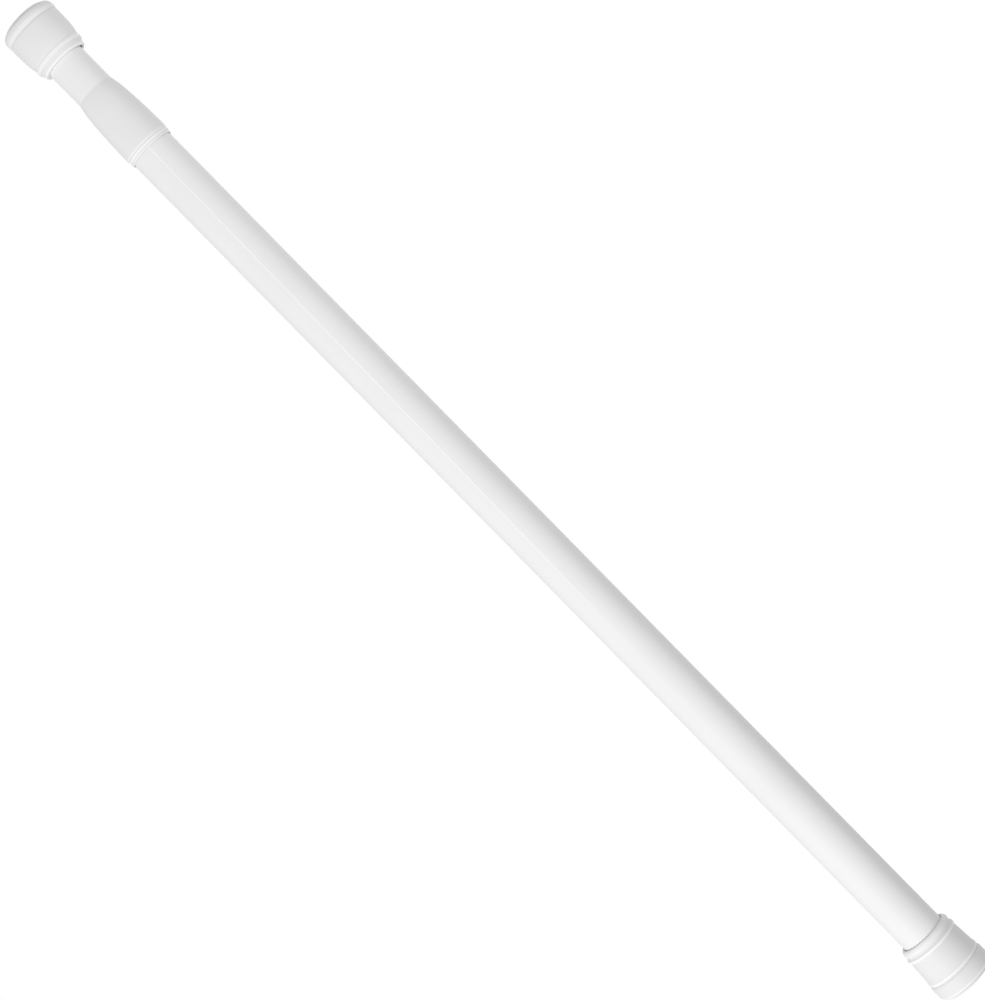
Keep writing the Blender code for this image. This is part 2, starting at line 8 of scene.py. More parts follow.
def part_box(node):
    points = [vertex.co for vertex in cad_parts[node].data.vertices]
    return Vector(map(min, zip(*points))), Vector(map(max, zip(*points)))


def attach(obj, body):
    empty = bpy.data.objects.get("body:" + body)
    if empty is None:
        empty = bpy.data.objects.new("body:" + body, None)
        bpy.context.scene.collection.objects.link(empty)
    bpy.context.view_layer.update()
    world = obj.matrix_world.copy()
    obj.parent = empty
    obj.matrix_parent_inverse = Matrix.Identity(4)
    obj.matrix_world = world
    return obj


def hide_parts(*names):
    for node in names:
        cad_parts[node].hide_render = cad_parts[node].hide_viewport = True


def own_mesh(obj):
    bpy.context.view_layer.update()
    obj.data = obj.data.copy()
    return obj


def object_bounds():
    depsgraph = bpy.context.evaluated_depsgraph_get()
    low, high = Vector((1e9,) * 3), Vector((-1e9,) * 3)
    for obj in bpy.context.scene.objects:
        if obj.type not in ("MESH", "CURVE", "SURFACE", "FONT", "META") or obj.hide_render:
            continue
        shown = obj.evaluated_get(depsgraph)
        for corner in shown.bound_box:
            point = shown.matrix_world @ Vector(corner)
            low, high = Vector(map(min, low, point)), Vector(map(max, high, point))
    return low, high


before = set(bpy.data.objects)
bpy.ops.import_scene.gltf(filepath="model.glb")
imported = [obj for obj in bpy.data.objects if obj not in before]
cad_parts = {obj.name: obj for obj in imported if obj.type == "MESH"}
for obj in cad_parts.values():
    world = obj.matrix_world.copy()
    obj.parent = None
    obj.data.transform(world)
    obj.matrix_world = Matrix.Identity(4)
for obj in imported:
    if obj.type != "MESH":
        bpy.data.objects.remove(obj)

cad_box = [list(corner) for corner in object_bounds()]

# Outer tube: cold rolled steel strip, welded into a tube and powder coated white.
# The weld runs the length of it as a fine ridge under the paint, and it winds a little,
# because the strip turns as it leaves the rolls. One end is in the cap, one in the collar.
# Its crest is painted paler, as a painted highlight.


def linear(code):
    """A colour's sRGB hex code as the linear values that a shader takes."""
    shares = [int(code[place : place + 2], 16) / 255 for place in (1, 3, 5)]
    lights = [((share + 0.055) / 1.055) ** 2.4 if share > 0.04045 else share / 12.92 for share in shares]
    return (*lights, 1.0)


def add(tree, kind, inputs=None, **settings):
    """Adds a node with its settings, and gives each input a value or a link from a socket."""
    made = tree.nodes.new(kind)
    for name, value in settings.items():
        setattr(made, name, value)
    for name, value in (inputs or {}).items():
        if isinstance(value, bpy.types.NodeSocket):
            tree.links.new(value, made.inputs[name])
        else:
            made.inputs[name].default_value = value
    return made


def new_finish(name):
    """An empty material, with its tree, its shader and the object's own coordinates."""
    material = bpy.data.materials.new(name)
    material.use_nodes = True
    tree = material.node_tree
    shader = tree.nodes["Principled BSDF"]
    place = add(tree, "ShaderNodeTexCoord").outputs["Object"]
    return material, tree, shader, place


def cloudy(tree, place, width, detail):
    """A soft pattern from 0 to 1 that changes over about this width in metres."""
    inputs = {"Vector": place, "Scale": 1 / width, "Detail": detail}
    return add(tree, "ShaderNodeTexNoise", inputs).outputs["Fac"]


def tinted(tree, pattern, first, second):
    """A colour that goes from one hex code to the other with a pattern."""
    tint = add(tree, "ShaderNodeMix", {"Factor": pattern}, data_type="RGBA")
    tint.inputs["A"].default_value = linear(first)
    tint.inputs["B"].default_value = linear(second)
    return tint.outputs["Result"]


def with_painted_highlight(tree, colour):
    """A colour that goes to white with a point value: a painted highlight on welds, beads, ridges and thin
    edges.
    """
    painted_highlight = add(tree, "ShaderNodeAttribute", attribute_name="painted_highlight")
    mix = add(tree, "ShaderNodeMix", {"Factor": painted_highlight.outputs["Fac"], "A": colour}, data_type="RGBA")
    mix.inputs["B"].default_value = linear("#FFFFFF")
    return mix.outputs["Result"]


def dulled(tree, shader, pattern, low, high):
    """Gives a shader a roughness that goes from low to high with a pattern."""
    gloss = add(tree, "ShaderNodeMapRange", {"Value": pattern, "To Min": low, "To Max": high})
    tree.links.new(gloss.outputs["Result"], shader.inputs["Roughness"])


def embossed(tree, shader, pattern, strength, depth):
    """Gives a shader a relief of this depth in metres."""
    bump = add(tree, "ShaderNodeBump", {"Height": pattern, "Strength": strength, "Distance": depth})
    tree.links.new(bump.outputs["Normal"], shader.inputs["Normal"])


def powder_coat():
    """Baked polyester powder on steel: a hard white satin skin with a slight orange peel."""
    material, tree, shader, place = new_finish("white_powder_coat_on_steel")
    peel_width = 0.0016  # real peel is nearer 0.6 mm, which the render can't show
    cloud_width = 0.030
    peel = cloudy(tree, place, peel_width, 2.0)
    cloud = cloudy(tree, place, cloud_width, 3.0)
    # The tone varies at random, with a painted highlight mixed in where the points carry one.
    tint = with_painted_highlight(tree, tinted(tree, cloud, "#EFEFEF", "#F3F3F3"))
    tree.links.new(tint, shader.inputs["Base Color"])
    dulled(tree, shader, cloud, 0.44, 0.52)
    embossed(tree, shader, peel, 0.25, 0.00004)
    shader.inputs["IOR"].default_value = 1.5
    shader.inputs["Specular IOR Level"].default_value = 0.08
    return material


def new_shape(name, numbers):
    """An empty geometry tree with these number inputs, its counts and finish, and their sockets."""
    tree = bpy.data.node_groups.new(name, "GeometryNodeTree")
    sockets = [(label, "NodeSocketFloat") for label in numbers]
    sockets += [("Sides", "NodeSocketInt"), ("Steps", "NodeSocketInt"), ("Finish", "NodeSocketMaterial")]
    for label, kind in sockets:
        tree.interface.new_socket(label, in_out="INPUT", socket_type=kind)
    tree.interface.new_socket("Geometry", in_out="OUTPUT", socket_type="NodeSocketGeometry")
    return tree, tree.nodes.new("NodeGroupInput").outputs


def worked(tree, operation, *values):
    """The result of a maths node on up to three values."""
    return add(tree, "ShaderNodeMath", dict(enumerate(values)), operation=operation).outputs[0]


def flat_sheet(tree, given):
    """A flat grid to roll up, with each point's share of the way along it and across it."""
    counts = {"Vertices X": given["Steps"], "Vertices Y": given["Sides"]}
    grid = add(tree, "GeometryNodeMeshGrid", {"Size X": 1.0, "Size Y": 1.0, **counts})
    flat = add(tree, "ShaderNodeSeparateXYZ", {0: add(tree, "GeometryNodeInputPosition").outputs[0]})
    share = worked(tree, "ADD", flat.outputs["X"], 0.5)
    around = worked(tree, "ADD", flat.outputs["Y"], 0.5)
    return grid.outputs["Mesh"], share, around


def laid_round(tree, sheet, along, radius, turn):
    """Lays each point round X, at its place along it, its radius and its turn from the front."""
    depth = worked(tree, "MULTIPLY", worked(tree, "COSINE", turn), radius)
    spot = {
        "X": along,
        "Y": worked(tree, "MULTIPLY", depth, -1.0),
        "Z": worked(tree, "MULTIPLY", worked(tree, "SINE", turn), radius),
    }
    placed = add(tree, "ShaderNodeCombineXYZ", spot).outputs[0]
    return add(tree, "GeometryNodeSetPosition", {"Geometry": sheet, "Position": placed}).outputs[0]


def finished(tree, shape, finish):
    """Ends a tree: its points welded, its faces smooth, real and in their finish."""
    welded = add(tree, "GeometryNodeMergeByDistance", {"Geometry": shape, "Distance": 0.000005})
    smooth = add(tree, "GeometryNodeSetShadeSmooth", {"Geometry": welded.outputs[0]})
    real = add(tree, "GeometryNodeRealizeInstances", {"Geometry": smooth.outputs[0]})
    dressed_faces = add(tree, "GeometryNodeSetMaterial", {"Geometry": real.outputs[0], "Material": finish})
    add(tree, "NodeGroupOutput", {"Geometry": dressed_faces.outputs[0]})
    return tree


def welded_tube_tree():
    """A tube's outer skin round X from a flat grid, with the weld's ridge winding along it, its crest a
    painted highlight.
    """
    numbers = ["Start", "Length", "Radius", "Ridge Height", "Painted Highlight Width", "Ridge Angle"]
    numbers += ["Ridge Winding", "Ridge Reach", "Ridge Painted Highlight", "Fade Start", "Fade End"]
    tree, given = new_shape("welded_tube", numbers)
    sheet, share, around = flat_sheet(tree, given)
    along = worked(tree, "MULTIPLY_ADD", share, given["Length"], given["Start"])
    # The columns crowd together near the weld, where the skin curves most.
    even = worked(tree, "MULTIPLY", around, math.tau)
    angle = worked(tree, "MULTIPLY_ADD", worked(tree, "SINE", even), -0.8, even)
    past = worked(tree, "ABSOLUTE", worked(tree, "SUBTRACT", angle, math.pi))
    arc = worked(tree, "MULTIPLY", worked(tree, "SUBTRACT", math.pi, past), given["Radius"])
    # The weld sinks into the skin towards the start, and its painted highlight fades with it, between the
    # two places given as its fade.
    fade = {"Value": along, "From Min": given["Fade Start"], "From Max": given["Fade End"]}
    shown = add(tree, "ShaderNodeMapRange", fade, interpolation_type="SMOOTHSTEP").outputs["Result"]
    # The strip isn't quite round beside the weld, so the skin rises to it as a low peak.
    apart = worked(tree, "DIVIDE", arc, given["Ridge Reach"])
    peak = worked(tree, "EXPONENT", worked(tree, "MULTIPLY", apart, -1.0))
    rise = worked(tree, "MULTIPLY", worked(tree, "MULTIPLY", peak, given["Ridge Height"]), shown)
    radius = worked(tree, "ADD", given["Radius"], rise)
    winding = worked(tree, "MULTIPLY_ADD", share, given["Ridge Winding"], given["Ridge Angle"])
    # Painted highlight: the skin on the weld's crest, across the given width, is painted paler.
    half = worked(tree, "MULTIPLY", given["Painted Highlight Width"], 0.5)
    crest = worked(tree, "SUBTRACT", 1.0, worked(tree, "MINIMUM", worked(tree, "DIVIDE", arc, half), 1.0))
    highlight_mask = worked(tree, "MULTIPLY", worked(tree, "MULTIPLY", crest, given["Ridge Painted Highlight"]), shown)
    marked = add(
        tree,
        "GeometryNodeStoreNamedAttribute",
        {"Geometry": sheet, "Name": "painted_highlight", "Value": highlight_mask},
        data_type="FLOAT",
        domain="POINT",
    )
    turn = worked(tree, "ADD", winding, angle)
    rolled = laid_round(tree, marked.outputs[0], along, radius, turn)
    return finished(tree, rolled, given["Finish"])


def grown(name, tree, values):
    """An object with a node tree on it and the tree's inputs set by name."""
    obj = bpy.data.objects.new(name, bpy.data.meshes.new(name))
    bpy.context.scene.collection.objects.link(obj)
    nodes = obj.modifiers.new("Nodes", "NODES")
    nodes.node_group = tree
    for item in tree.interface.items_tree:
        if item.item_type == "SOCKET" and item.in_out == "INPUT" and item.name in values:
            nodes[item.identifier] = values[item.name]
    return obj


def settled(obj):
    """Turns what an object's modifiers make into its plain mesh."""
    graph = bpy.context.evaluated_depsgraph_get()
    mesh = bpy.data.meshes.new_from_object(obj.evaluated_get(graph))
    obj.modifiers.clear()
    obj.data = mesh
    mesh.name = obj.name
    return obj


painted_steel = powder_coat()
tube_low, tube_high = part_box("outer_tube")
tube_wall = 0.0005
outer_tube = grown(
    "outer_tube_painted",
    welded_tube_tree(),
    {
        "Start": tube_low.x,
        "Length": tube_high.x - tube_low.x,
        "Radius": tube_high.z,
        "Ridge Height": 0.00018,
        "Painted Highlight Width": 0.0012,
        "Ridge Reach": 0.0007,
        "Ridge Painted Highlight": 0.75,
        "Ridge Angle": math.radians(26.2),
        "Ridge Winding": math.radians(-25.5),
        "Fade Start": 0.22,
        "Fade End": 0.34,
        "Sides": 193,
        "Steps": 65,
        "Finish": painted_steel,
    },
)
strip = outer_tube.modifiers.new("Strip", "SOLIDIFY")
strip.thickness = tube_wall
strip.offset = -1
settled(outer_tube)
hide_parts("outer_tube")
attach(outer_tube, "outer")

# Inner tube: the thinner steel tube that slides in the outer one, painted the same white.
# It is rolled in over the bush at its hidden end, which leaves a groove round it, and its
# other end carries the moving cap's plug.


def softened(corners, steps=6):
    """An outline from (along, radius, softening, painted highlight) corners; the painted highlight may be
    left out.
    """
    line = []
    for number, (along, radius, softening, *painted_highlight) in enumerate(corners):
        corner = Vector((along, radius))
        highlight_level = painted_highlight[0] if painted_highlight else 0.0
        if softening == 0:
            line.append((along, radius, highlight_level))
            continue
        before = Vector(corners[number - 1][:2])
        after = Vector(corners[(number + 1) % len(corners)][:2])
        first = corner + (before - corner).normalized() * softening
        last = corner + (after - corner).normalized() * softening
        for step in range(steps + 1):
            share = step / steps
            edge = first * (1 - share) ** 2 + corner * (2 * share * (1 - share)) + last * share**2
            line.append((edge.x, edge.y, highlight_level))
    return line


def turned(name, line, finish, start=0.0, facing=1, sides=144):
    """A piece turned round the rod's axis, its outline measured from start along X."""
    shape = bmesh.new()
    # Each point carries its painted highlight, which mixes the finish towards white.
    highlight_paint = shape.verts.layers.float.new("painted_highlight")
    points = [shape.verts.new((start + facing * along, 0.0, radius)) for along, radius, highlight_level in line]
    for point, corner in zip(points, line):
        point[highlight_paint] = corner[2]
    pairs = list(zip(points, points[1:]))
    if line[0][1] > 0:
        pairs.append((points[-1], points[0]))
    edges = [shape.edges.new(pair) for pair in pairs]
    bmesh.ops.spin(
        shape,
        geom=points + edges,
        cent=(0.0, 0.0, 0.0),
        axis=(1.0, 0.0, 0.0),
        angle=math.tau,
        steps=sides,
        use_merge=True,
    )
    bmesh.ops.remove_doubles(shape, verts=shape.verts, dist=0.000002)
    bmesh.ops.recalc_face_normals(shape, faces=shape.faces)
    mesh = bpy.data.meshes.new(name)
    shape.to_mesh(mesh)
    shape.free()
    mesh.shade_smooth()
    mesh.set_sharp_from_angle(angle=math.radians(50))
    mesh.materials.append(finish)
    obj = bpy.data.objects.new(name, mesh)
    bpy.context.scene.collection.objects.link(obj)
    return obj


inner_low, inner_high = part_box("inner_tube")
inner_radius = inner_high.z
crimp_depth = 0.0004
crimp_half = 0.002
crimp_middle = inner_low.x + 0.010
inner_bore = inner_radius - tube_wall
inner_line = softened(
    [
        (inner_low.x, inner_radius, 0.0001),
        (crimp_middle - crimp_half, inner_radius, 0.0005),
        (crimp_middle, inner_radius - crimp_depth, 0.001),
        (crimp_middle + crimp_half, inner_radius, 0.0005),
        (inner_high.x, inner_radius, 0.0001),
        (inner_high.x, inner_bore, 0.0001),
        (crimp_middle + crimp_half, inner_bore, 0.0005),
        (crimp_middle, inner_bore - crimp_depth, 0.001),
        (crimp_middle - crimp_half, inner_bore, 0.0005),
        (inner_low.x, inner_bore, 0.0001),
    ]
)
inner_tube = turned("inner_tube_painted", inner_line, painted_steel)
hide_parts("inner_tube")
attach(inner_tube, "inner")

# Collar: a white ABS moulding pushed over the outer tube's mouth, which hides the cut edge
# and guides the thin tube. Its lip has two fine grooves, and its nose thins down to the
# thin tube that slides through it.


def moulded_abs():
    """Injection moulded ABS: white, satin, with the faint texture of the mould's steel."""
    material, tree, shader, place = new_finish("white_moulded_abs")
    grain_width = 0.0011  # the mould's texture is nearer 0.2 mm, too fine for the render
    flow_width = 0.012
    grain = cloudy(tree, place, grain_width, 2.0)
    flow = cloudy(tree, place, flow_width, 3.0)
    # The tone varies at random, with a painted highlight mixed in where the points carry one.
    tint = with_painted_highlight(tree, tinted(tree, flow, "#EAEAEA", "#EEEEEE"))
    tree.links.new(tint, shader.inputs["Base Color"])
    dulled(tree, shader, flow, 0.46, 0.56)
    embossed(tree, shader, grain, 0.2, 0.00003)
    shader.inputs["IOR"].default_value = 1.53
    shader.inputs["Specular IOR Level"].default_value = 0.08
    return material


white_abs = moulded_abs()
collar_low, collar_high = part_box("joint_collar")
collar_length = collar_high.x - collar_low.x
slide_gap = 0.0003
collar_bore = tube_high.z + slide_gap
nose_gap = 0.00004
nose_bore = inner_radius + nose_gap
collar_lip = 0.0031  # the photographed lip starts this far in
collar_step = 0.0255
# The fourth values are painted highlights on the lip's ridges.
collar_line = softened(
    [
        (collar_lip, collar_bore, 0.0),
        (collar_lip, 0.01305, 0.0001),
        (collar_lip + 0.0008, 0.01325, 0.0002, 0.6),
        (collar_lip + 0.0012, 0.01308, 0.0001),
        (collar_lip + 0.0016, 0.01308, 0.0001),
        (collar_lip + 0.0020, 0.01352, 0.0002, 0.8),
        (collar_lip + 0.0026, 0.01356, 0.0002, 0.8),
        (collar_lip + 0.0030, 0.01334, 0.0001),
        (collar_lip + 0.0035, 0.01334, 0.0001),
        (collar_lip + 0.0040, 0.01366, 0.0002, 0.5),
        (collar_lip + 0.0048, 0.01372, 0.0003),
        (0.0130, 0.01368, 0.004),
        (0.0240, 0.01335, 0.004),
        (0.0330, 0.01280, 0.003),
        (0.0400, 0.01210, 0.002),
        (collar_length, 0.01112, 0.00005),
        (collar_length, nose_bore, 0.0),
        (collar_step, nose_bore, 0.0),
        (collar_step, collar_bore, 0.0),
    ]
)
collar = turned("collar_moulded", collar_line, white_abs, start=collar_low.x)
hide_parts("joint_collar")
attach(collar, "outer")

# Fixed end cap: a deep white ABS cup pressed over the outer tube's end. Its mouth has a broad
# rounded bead, then a thin bead, and the cup widens to a crisp rim against the soft foot.
fixed_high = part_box("fixed_end_cap")[1]
fixed_bore = tube_high.z + slide_gap
fixed_web_end = tube_low.x - slide_gap
fixed_mouth = fixed_high.x - 0.0010  # the photographed mouth ends a little sooner
fixed_joint = 0.01062
fixed_spigot = 0.01470
# The fourth values are painted highlights on the broad bead, the thin bead and the rim.
fixed_line = softened(
    [
        (fixed_web_end, 0.0, 0.0),
        (fixed_web_end, fixed_bore, 0.0),
        (fixed_mouth - 0.0022, fixed_bore, 0.0),
        (fixed_mouth - 0.0018, tube_high.z + nose_gap, 0.0),
        (fixed_mouth - 0.0012, tube_high.z + nose_gap, 0.0002),
        (fixed_mouth, 0.01335, 0.0001),
        (fixed_mouth, 0.01380, 0.0002, 0.4),
        (0.0338, 0.01460, 0.0005, 0.4),
        (0.0327, 0.01518, 0.0006, 0.4),
        (0.0317, 0.01532, 0.0005, 0.4),
        (0.0309, 0.01506, 0.0003),
        (0.0302, 0.01496, 0.0002),
        (0.0299, 0.01500, 0.0002),
        (0.0288, 0.01578, 0.0002),
        (0.0284, 0.01588, 0.0002, 0.9),
        (0.0276, 0.01590, 0.0002, 0.9),
        (0.0273, 0.01580, 0.0001),
        (0.0269, 0.01536, 0.0001),
        (0.0262, 0.01536, 0.0002),
        (0.0240, 0.01562, 0.001),
        (0.0172, 0.01600, 0.002),
        (0.0140, 0.01628, 0.0006),
        (0.0127, 0.01654, 0.0002),
        (0.0124, 0.01664, 0.0001, 0.9),
        (0.0118, 0.01664, 0.0001, 0.9),
        (0.0115, 0.01652, 0.0002),
        (fixed_joint, 0.01634, 0.0001),
        (fixed_joint, fixed_spigot, 0.0),
        (0.0085, fixed_spigot, 0.0002),
        (0.0085, 0.0, 0.0),
    ]
)
fixed_cap = turned("fixed_cap_moulded", fixed_line, white_abs)
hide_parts("fixed_end_cap")
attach(fixed_cap, "outer")

# Feet: soft white PVC pads stretched over the spigot of each cap. They press on the walls, so
# the edge is well rounded and the face has a shallow ring that holds like a sucker.


def soft_vinyl():
    """Plasticised PVC: a dull white skin, slightly darker than the ABS beside it."""
    material, tree, shader, place = new_finish("white_soft_vinyl")
    grain_width = 0.0009  # drawn coarser than the real 0.1 mm bloom on the skin
    cloud_width = 0.009
    grain = cloudy(tree, place, grain_width, 3.0)
    cloud = cloudy(tree, place, cloud_width, 3.0)
    # The tone varies at random, with a painted highlight mixed in where the points carry one.
    tint = with_painted_highlight(tree, tinted(tree, cloud, "#E8E8E8", "#EEEEEE"))
    tree.links.new(tint, shader.inputs["Base Color"])
    dulled(tree, shader, cloud, 0.48, 0.60)
    embossed(tree, shader, grain, 0.3, 0.00004)
    shader.inputs["IOR"].default_value = 1.52
    shader.inputs["Specular IOR Level"].default_value = 0.1
    return material


def quarter(along, radius, reach, rise, highlight_paint, steps=14):
    """A quarter of an ellipse, from its widest point at along down and back to its foot."""
    points = []
    for step in range(steps + 1):
        angle = math.pi / 2 * step / steps
        # A painted highlight runs round the rounded edge, a little way round from its widest point.
        edge_highlight = highlight_paint if 3 < step < 7 else 0.0
        points.append((along - reach * math.sin(angle), radius + rise * math.cos(angle), 0.0, edge_highlight))
    return points


def foot_line(radius, depth, spigot, edge_highlight, rim_highlight):
    """A foot's outline from its face: the skirt goes round the cap's spigot."""
    skirt = 0.0026
    recess = spigot + slide_gap
    face = radius * 0.79
    ring = face - 0.0028
    face_lip = 0.0009
    round_depth = 0.0045
    round_start = face + 0.0009
    # The fourth values are painted highlights: on the rim by the cap, round the rounded edge and on the
    # face's lip.
    return softened(
        [
            (depth - skirt, 0.0, 0.0),
            (depth - skirt, recess, 0.0001),
            (depth, recess, 0.0001),
            (depth, radius - 0.0006, 0.0001),
            (depth - 0.0007, radius - 0.0002, 0.0003, rim_highlight),
            (depth - 0.0018, radius, 0.0004, rim_highlight),
            *quarter(round_depth, round_start, round_depth - face_lip, radius - round_start, edge_highlight),
            (face_lip, round_start - 0.0002, 0.0001, 1.0),
            (face_lip - 0.0002, face + 0.0002, 0.0001, 1.0),
            (face_lip, face, 0.0),
            (0.0, face, 0.00015),
            (0.0, ring + 0.0012, 0.0002),
            (0.0005, ring + 0.0006, 0.0003),
            (0.0, ring, 0.0002),
            (0.0, 0.0, 0.0),
        ]
    )


vinyl = soft_vinyl()
foot_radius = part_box("fixed_end_pad")[1].z
fixed_depth = 0.0106
fixed_foot_line = foot_line(foot_radius, fixed_depth, fixed_spigot, edge_highlight=0.8, rim_highlight=0.0)
fixed_foot = turned("fixed_foot_soft", fixed_foot_line, vinyl)
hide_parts("fixed_end_pad")
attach(fixed_foot, "outer")

far_low, far_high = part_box("moving_end_pad")
far_depth = far_high.x - far_low.x
moving_spigot = 0.01390
far_line = foot_line(far_high.z, far_depth, moving_spigot, edge_highlight=0.0, rim_highlight=0.3)
moving_foot = turned("moving_foot_soft", far_line, vinyl, start=far_high.x, facing=-1)
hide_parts("moving_end_pad")
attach(moving_foot, "inner")

# Moving end cap: the smaller ABS cup, screwed to the plug in the thin tube. Its neck stands
# clear of the tube, and its lip closes the gap but for one side, where a dark slit shows.
cap_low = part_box("moving_end_cap")[0]
cap_mouth = far_high.x - cap_low.x - 0.0033  # the photographed mouth ends sooner
cap_bore = inner_radius + 0.00125
lip_bore = inner_radius + 0.00012
moving_joint = 0.00702
# The fourth values are painted highlights on the lip and the bead.
moving_line = softened(
    [
        (0.0077, 0.0018, 0.0),
        (0.0077, cap_bore, 0.0),
        (cap_mouth - 0.0020, cap_bore, 0.0),
        (cap_mouth - 0.0012, lip_bore, 0.0001),
        (cap_mouth, lip_bore, 0.0001),
        (cap_mouth, 0.01322, 0.0002, 0.7),
        (cap_mouth - 0.0010, 0.01362, 0.0003, 0.7),
        (cap_mouth - 0.0015, 0.01356, 0.0003),
        (0.0278, 0.01410, 0.0006),
        (0.0272, 0.01420, 0.0002),
        (0.0267, 0.01494, 0.0004, 0.6),
        (0.0249, 0.01500, 0.0006, 0.6),
        (0.0243, 0.01440, 0.0003),
        (0.0238, 0.01478, 0.0003),
        (0.0215, 0.01530, 0.0010),
        (0.0180, 0.01580, 0.002),
        (0.0100, 0.01600, 0.001),
        (0.0081, 0.01598, 0.0003),
        (moving_joint, 0.01560, 0.0001),
        (moving_joint, moving_spigot, 0.0),
        (0.0047, moving_spigot, 0.0002),
        (0.0047, 0.0038, 0.0),
        (0.0064, 0.0038, 0.0),
        (0.0064, 0.0018, 0.0),
    ]
)
moving_cap = turned("moving_cap_moulded", moving_line, white_abs, start=far_high.x, facing=-1)
# The screwed cap sits a little askew, so its lip stands off the tube on the under side.
lip_depth = 0.0015
lip_stand_off = 0.0009
for vert in moving_cap.data.vertices:
    reach = math.hypot(vert.co.y, vert.co.z)
    if vert.co.x < far_high.x - cap_mouth + lip_depth and reach < cap_bore:
        under = max(0.0, -vert.co.z / reach) ** 6
        vert.co.yz *= 1 + under * lip_stand_off / reach
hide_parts("moving_end_cap")
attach(moving_cap, "inner")

# Hidden nylon pieces: the plug and the bush in the thin tube, the split jaws, their carrier
# and the wedge nut. All are moulded in dark grey nylon that runs dry on steel.


def moulded_nylon():
    """Moulded nylon: dark grey and half dull, mottled by moisture, with the mould's fine grain."""
    material, tree, shader, place = new_finish("dark_grey_nylon")
    mottle_width = 0.004
    grain_width = 0.0008  # drawn coarser than the real 0.2 mm
    mottle = cloudy(tree, place, mottle_width, 3.0)
    grain = cloudy(tree, place, grain_width, 2.0)
    tree.links.new(tinted(tree, mottle, "#5A5B5D", "#66676A"), shader.inputs["Base Color"])
    dulled(tree, shader, mottle, 0.40, 0.52)
    embossed(tree, shader, grain, 0.3, 0.00004)
    shader.inputs["IOR"].default_value = 1.53
    return material


def dressed(names, finish):
    """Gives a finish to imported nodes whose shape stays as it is."""
    for name in names:
        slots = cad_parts[name].data.materials
        slots.clear()
        slots.append(finish)


nylon = moulded_nylon()
dressed(["guide_bush", "upper_jaw", "lower_jaw", "jaw_carrier", "wedge_nut"], nylon)

plug_low, plug_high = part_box("moving_end_plug")
plug_length = plug_high.x - plug_low.x
plug_flange = 0.003
plug_body = 0.0102
screw_hole = 0.0018
screw_hole_end = 0.0102
groove_depth = 0.0004
# The body has three grooves, so that it crushes into the tube as it is pressed home.
plug_grooves = []
for groove in (0.0050, 0.0100, 0.0150):
    plug_grooves += [
        (groove, plug_body, 0.0001),
        (groove + 0.0004, plug_body - groove_depth, 0.0001),
        (groove + 0.0010, plug_body - groove_depth, 0.0001),
        (groove + 0.0014, plug_body, 0.0001),
    ]
plug_line = softened(
    [
        (0.0, 0.0, 0.0),
        (0.0, plug_body - 0.0006, 0.0002),
        (0.0012, plug_body, 0.0003),
        *plug_grooves,
        (plug_length - plug_flange, plug_body, 0.0001),
        (plug_length - plug_flange, plug_high.z, 0.0002),
        (plug_length, plug_high.z, 0.0003),
        (plug_length, screw_hole, 0.0002),
        (screw_hole_end, screw_hole, 0.0),
        (screw_hole_end, 0.0, 0.0),
    ],
    steps=3,
)
plug = turned("moving_plug_moulded", plug_line, nylon, start=plug_low.x, sides=96)
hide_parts("moving_end_plug")
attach(plug, "inner")

# Jaw ring: a black nitrile ring in the groove round both jaws, stretched over them so that
# they draw in when the wedge backs out.


def nitrile_rubber():
    """Nitrile rubber: nearly black and dull, with a dusty bloom in patches."""
    material, tree, shader, place = new_finish("black_nitrile_rubber")
    bloom_width = 0.002
    bloom = cloudy(tree, place, bloom_width, 4.0)
    tree.links.new(tinted(tree, bloom, "#1B1B1C", "#2A2A2B"), shader.inputs["Base Color"])
    dulled(tree, shader, bloom, 0.65, 0.85)
    embossed(tree, shader, bloom, 0.2, 0.00003)
    return material


ring_low, ring_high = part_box("jaw_ring")
ring_half = (ring_high.x - ring_low.x) / 2
ring_steps = 20
ring_line = []
for step in range(ring_steps):
    angle = math.tau * step / ring_steps
    along = ring_low.x + ring_half * (1 - math.cos(angle))
    ring_line.append((along, ring_high.z - ring_half * (1 - math.sin(angle)), 0.0))
jaw_ring = turned("jaw_ring_rubber", ring_line, nitrile_rubber())
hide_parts("jaw_ring")
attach(jaw_ring, "lock")

# Steel fittings: the threaded spindle, its nut, washers and screws, turned or rolled from mild
# steel and zinc plated against the damp. The spindle's long thread draws the wedge nut 3 mm a
# turn, and the screws are driven by a cross recess.


def zinc_plate():
    """Bright zinc plate: pale blue grey metal, with turning marks and a patchy passive film."""
    material, tree, shader, place = new_finish("zinc_plated_steel")
    film_width = 0.003
    mark_spacing = 0.0004  # drawn coarser than the real 0.1 mm
    film = cloudy(tree, place, film_width, 3.0)
    marks = add(
        tree,
        "ShaderNodeTexWave",
        {"Vector": place, "Scale": 1 / mark_spacing / math.tau, "Distortion": 1.5, "Detail": 1.0},
        bands_direction="X",
    )
    tree.links.new(tinted(tree, film, "#C9CCD0", "#D9DBDD"), shader.inputs["Base Color"])
    dulled(tree, shader, film, 0.22, 0.40)
    embossed(tree, shader, marks.outputs["Fac"], 0.15, 0.00002)
    shader.inputs["Metallic"].default_value = 1.0
    return material


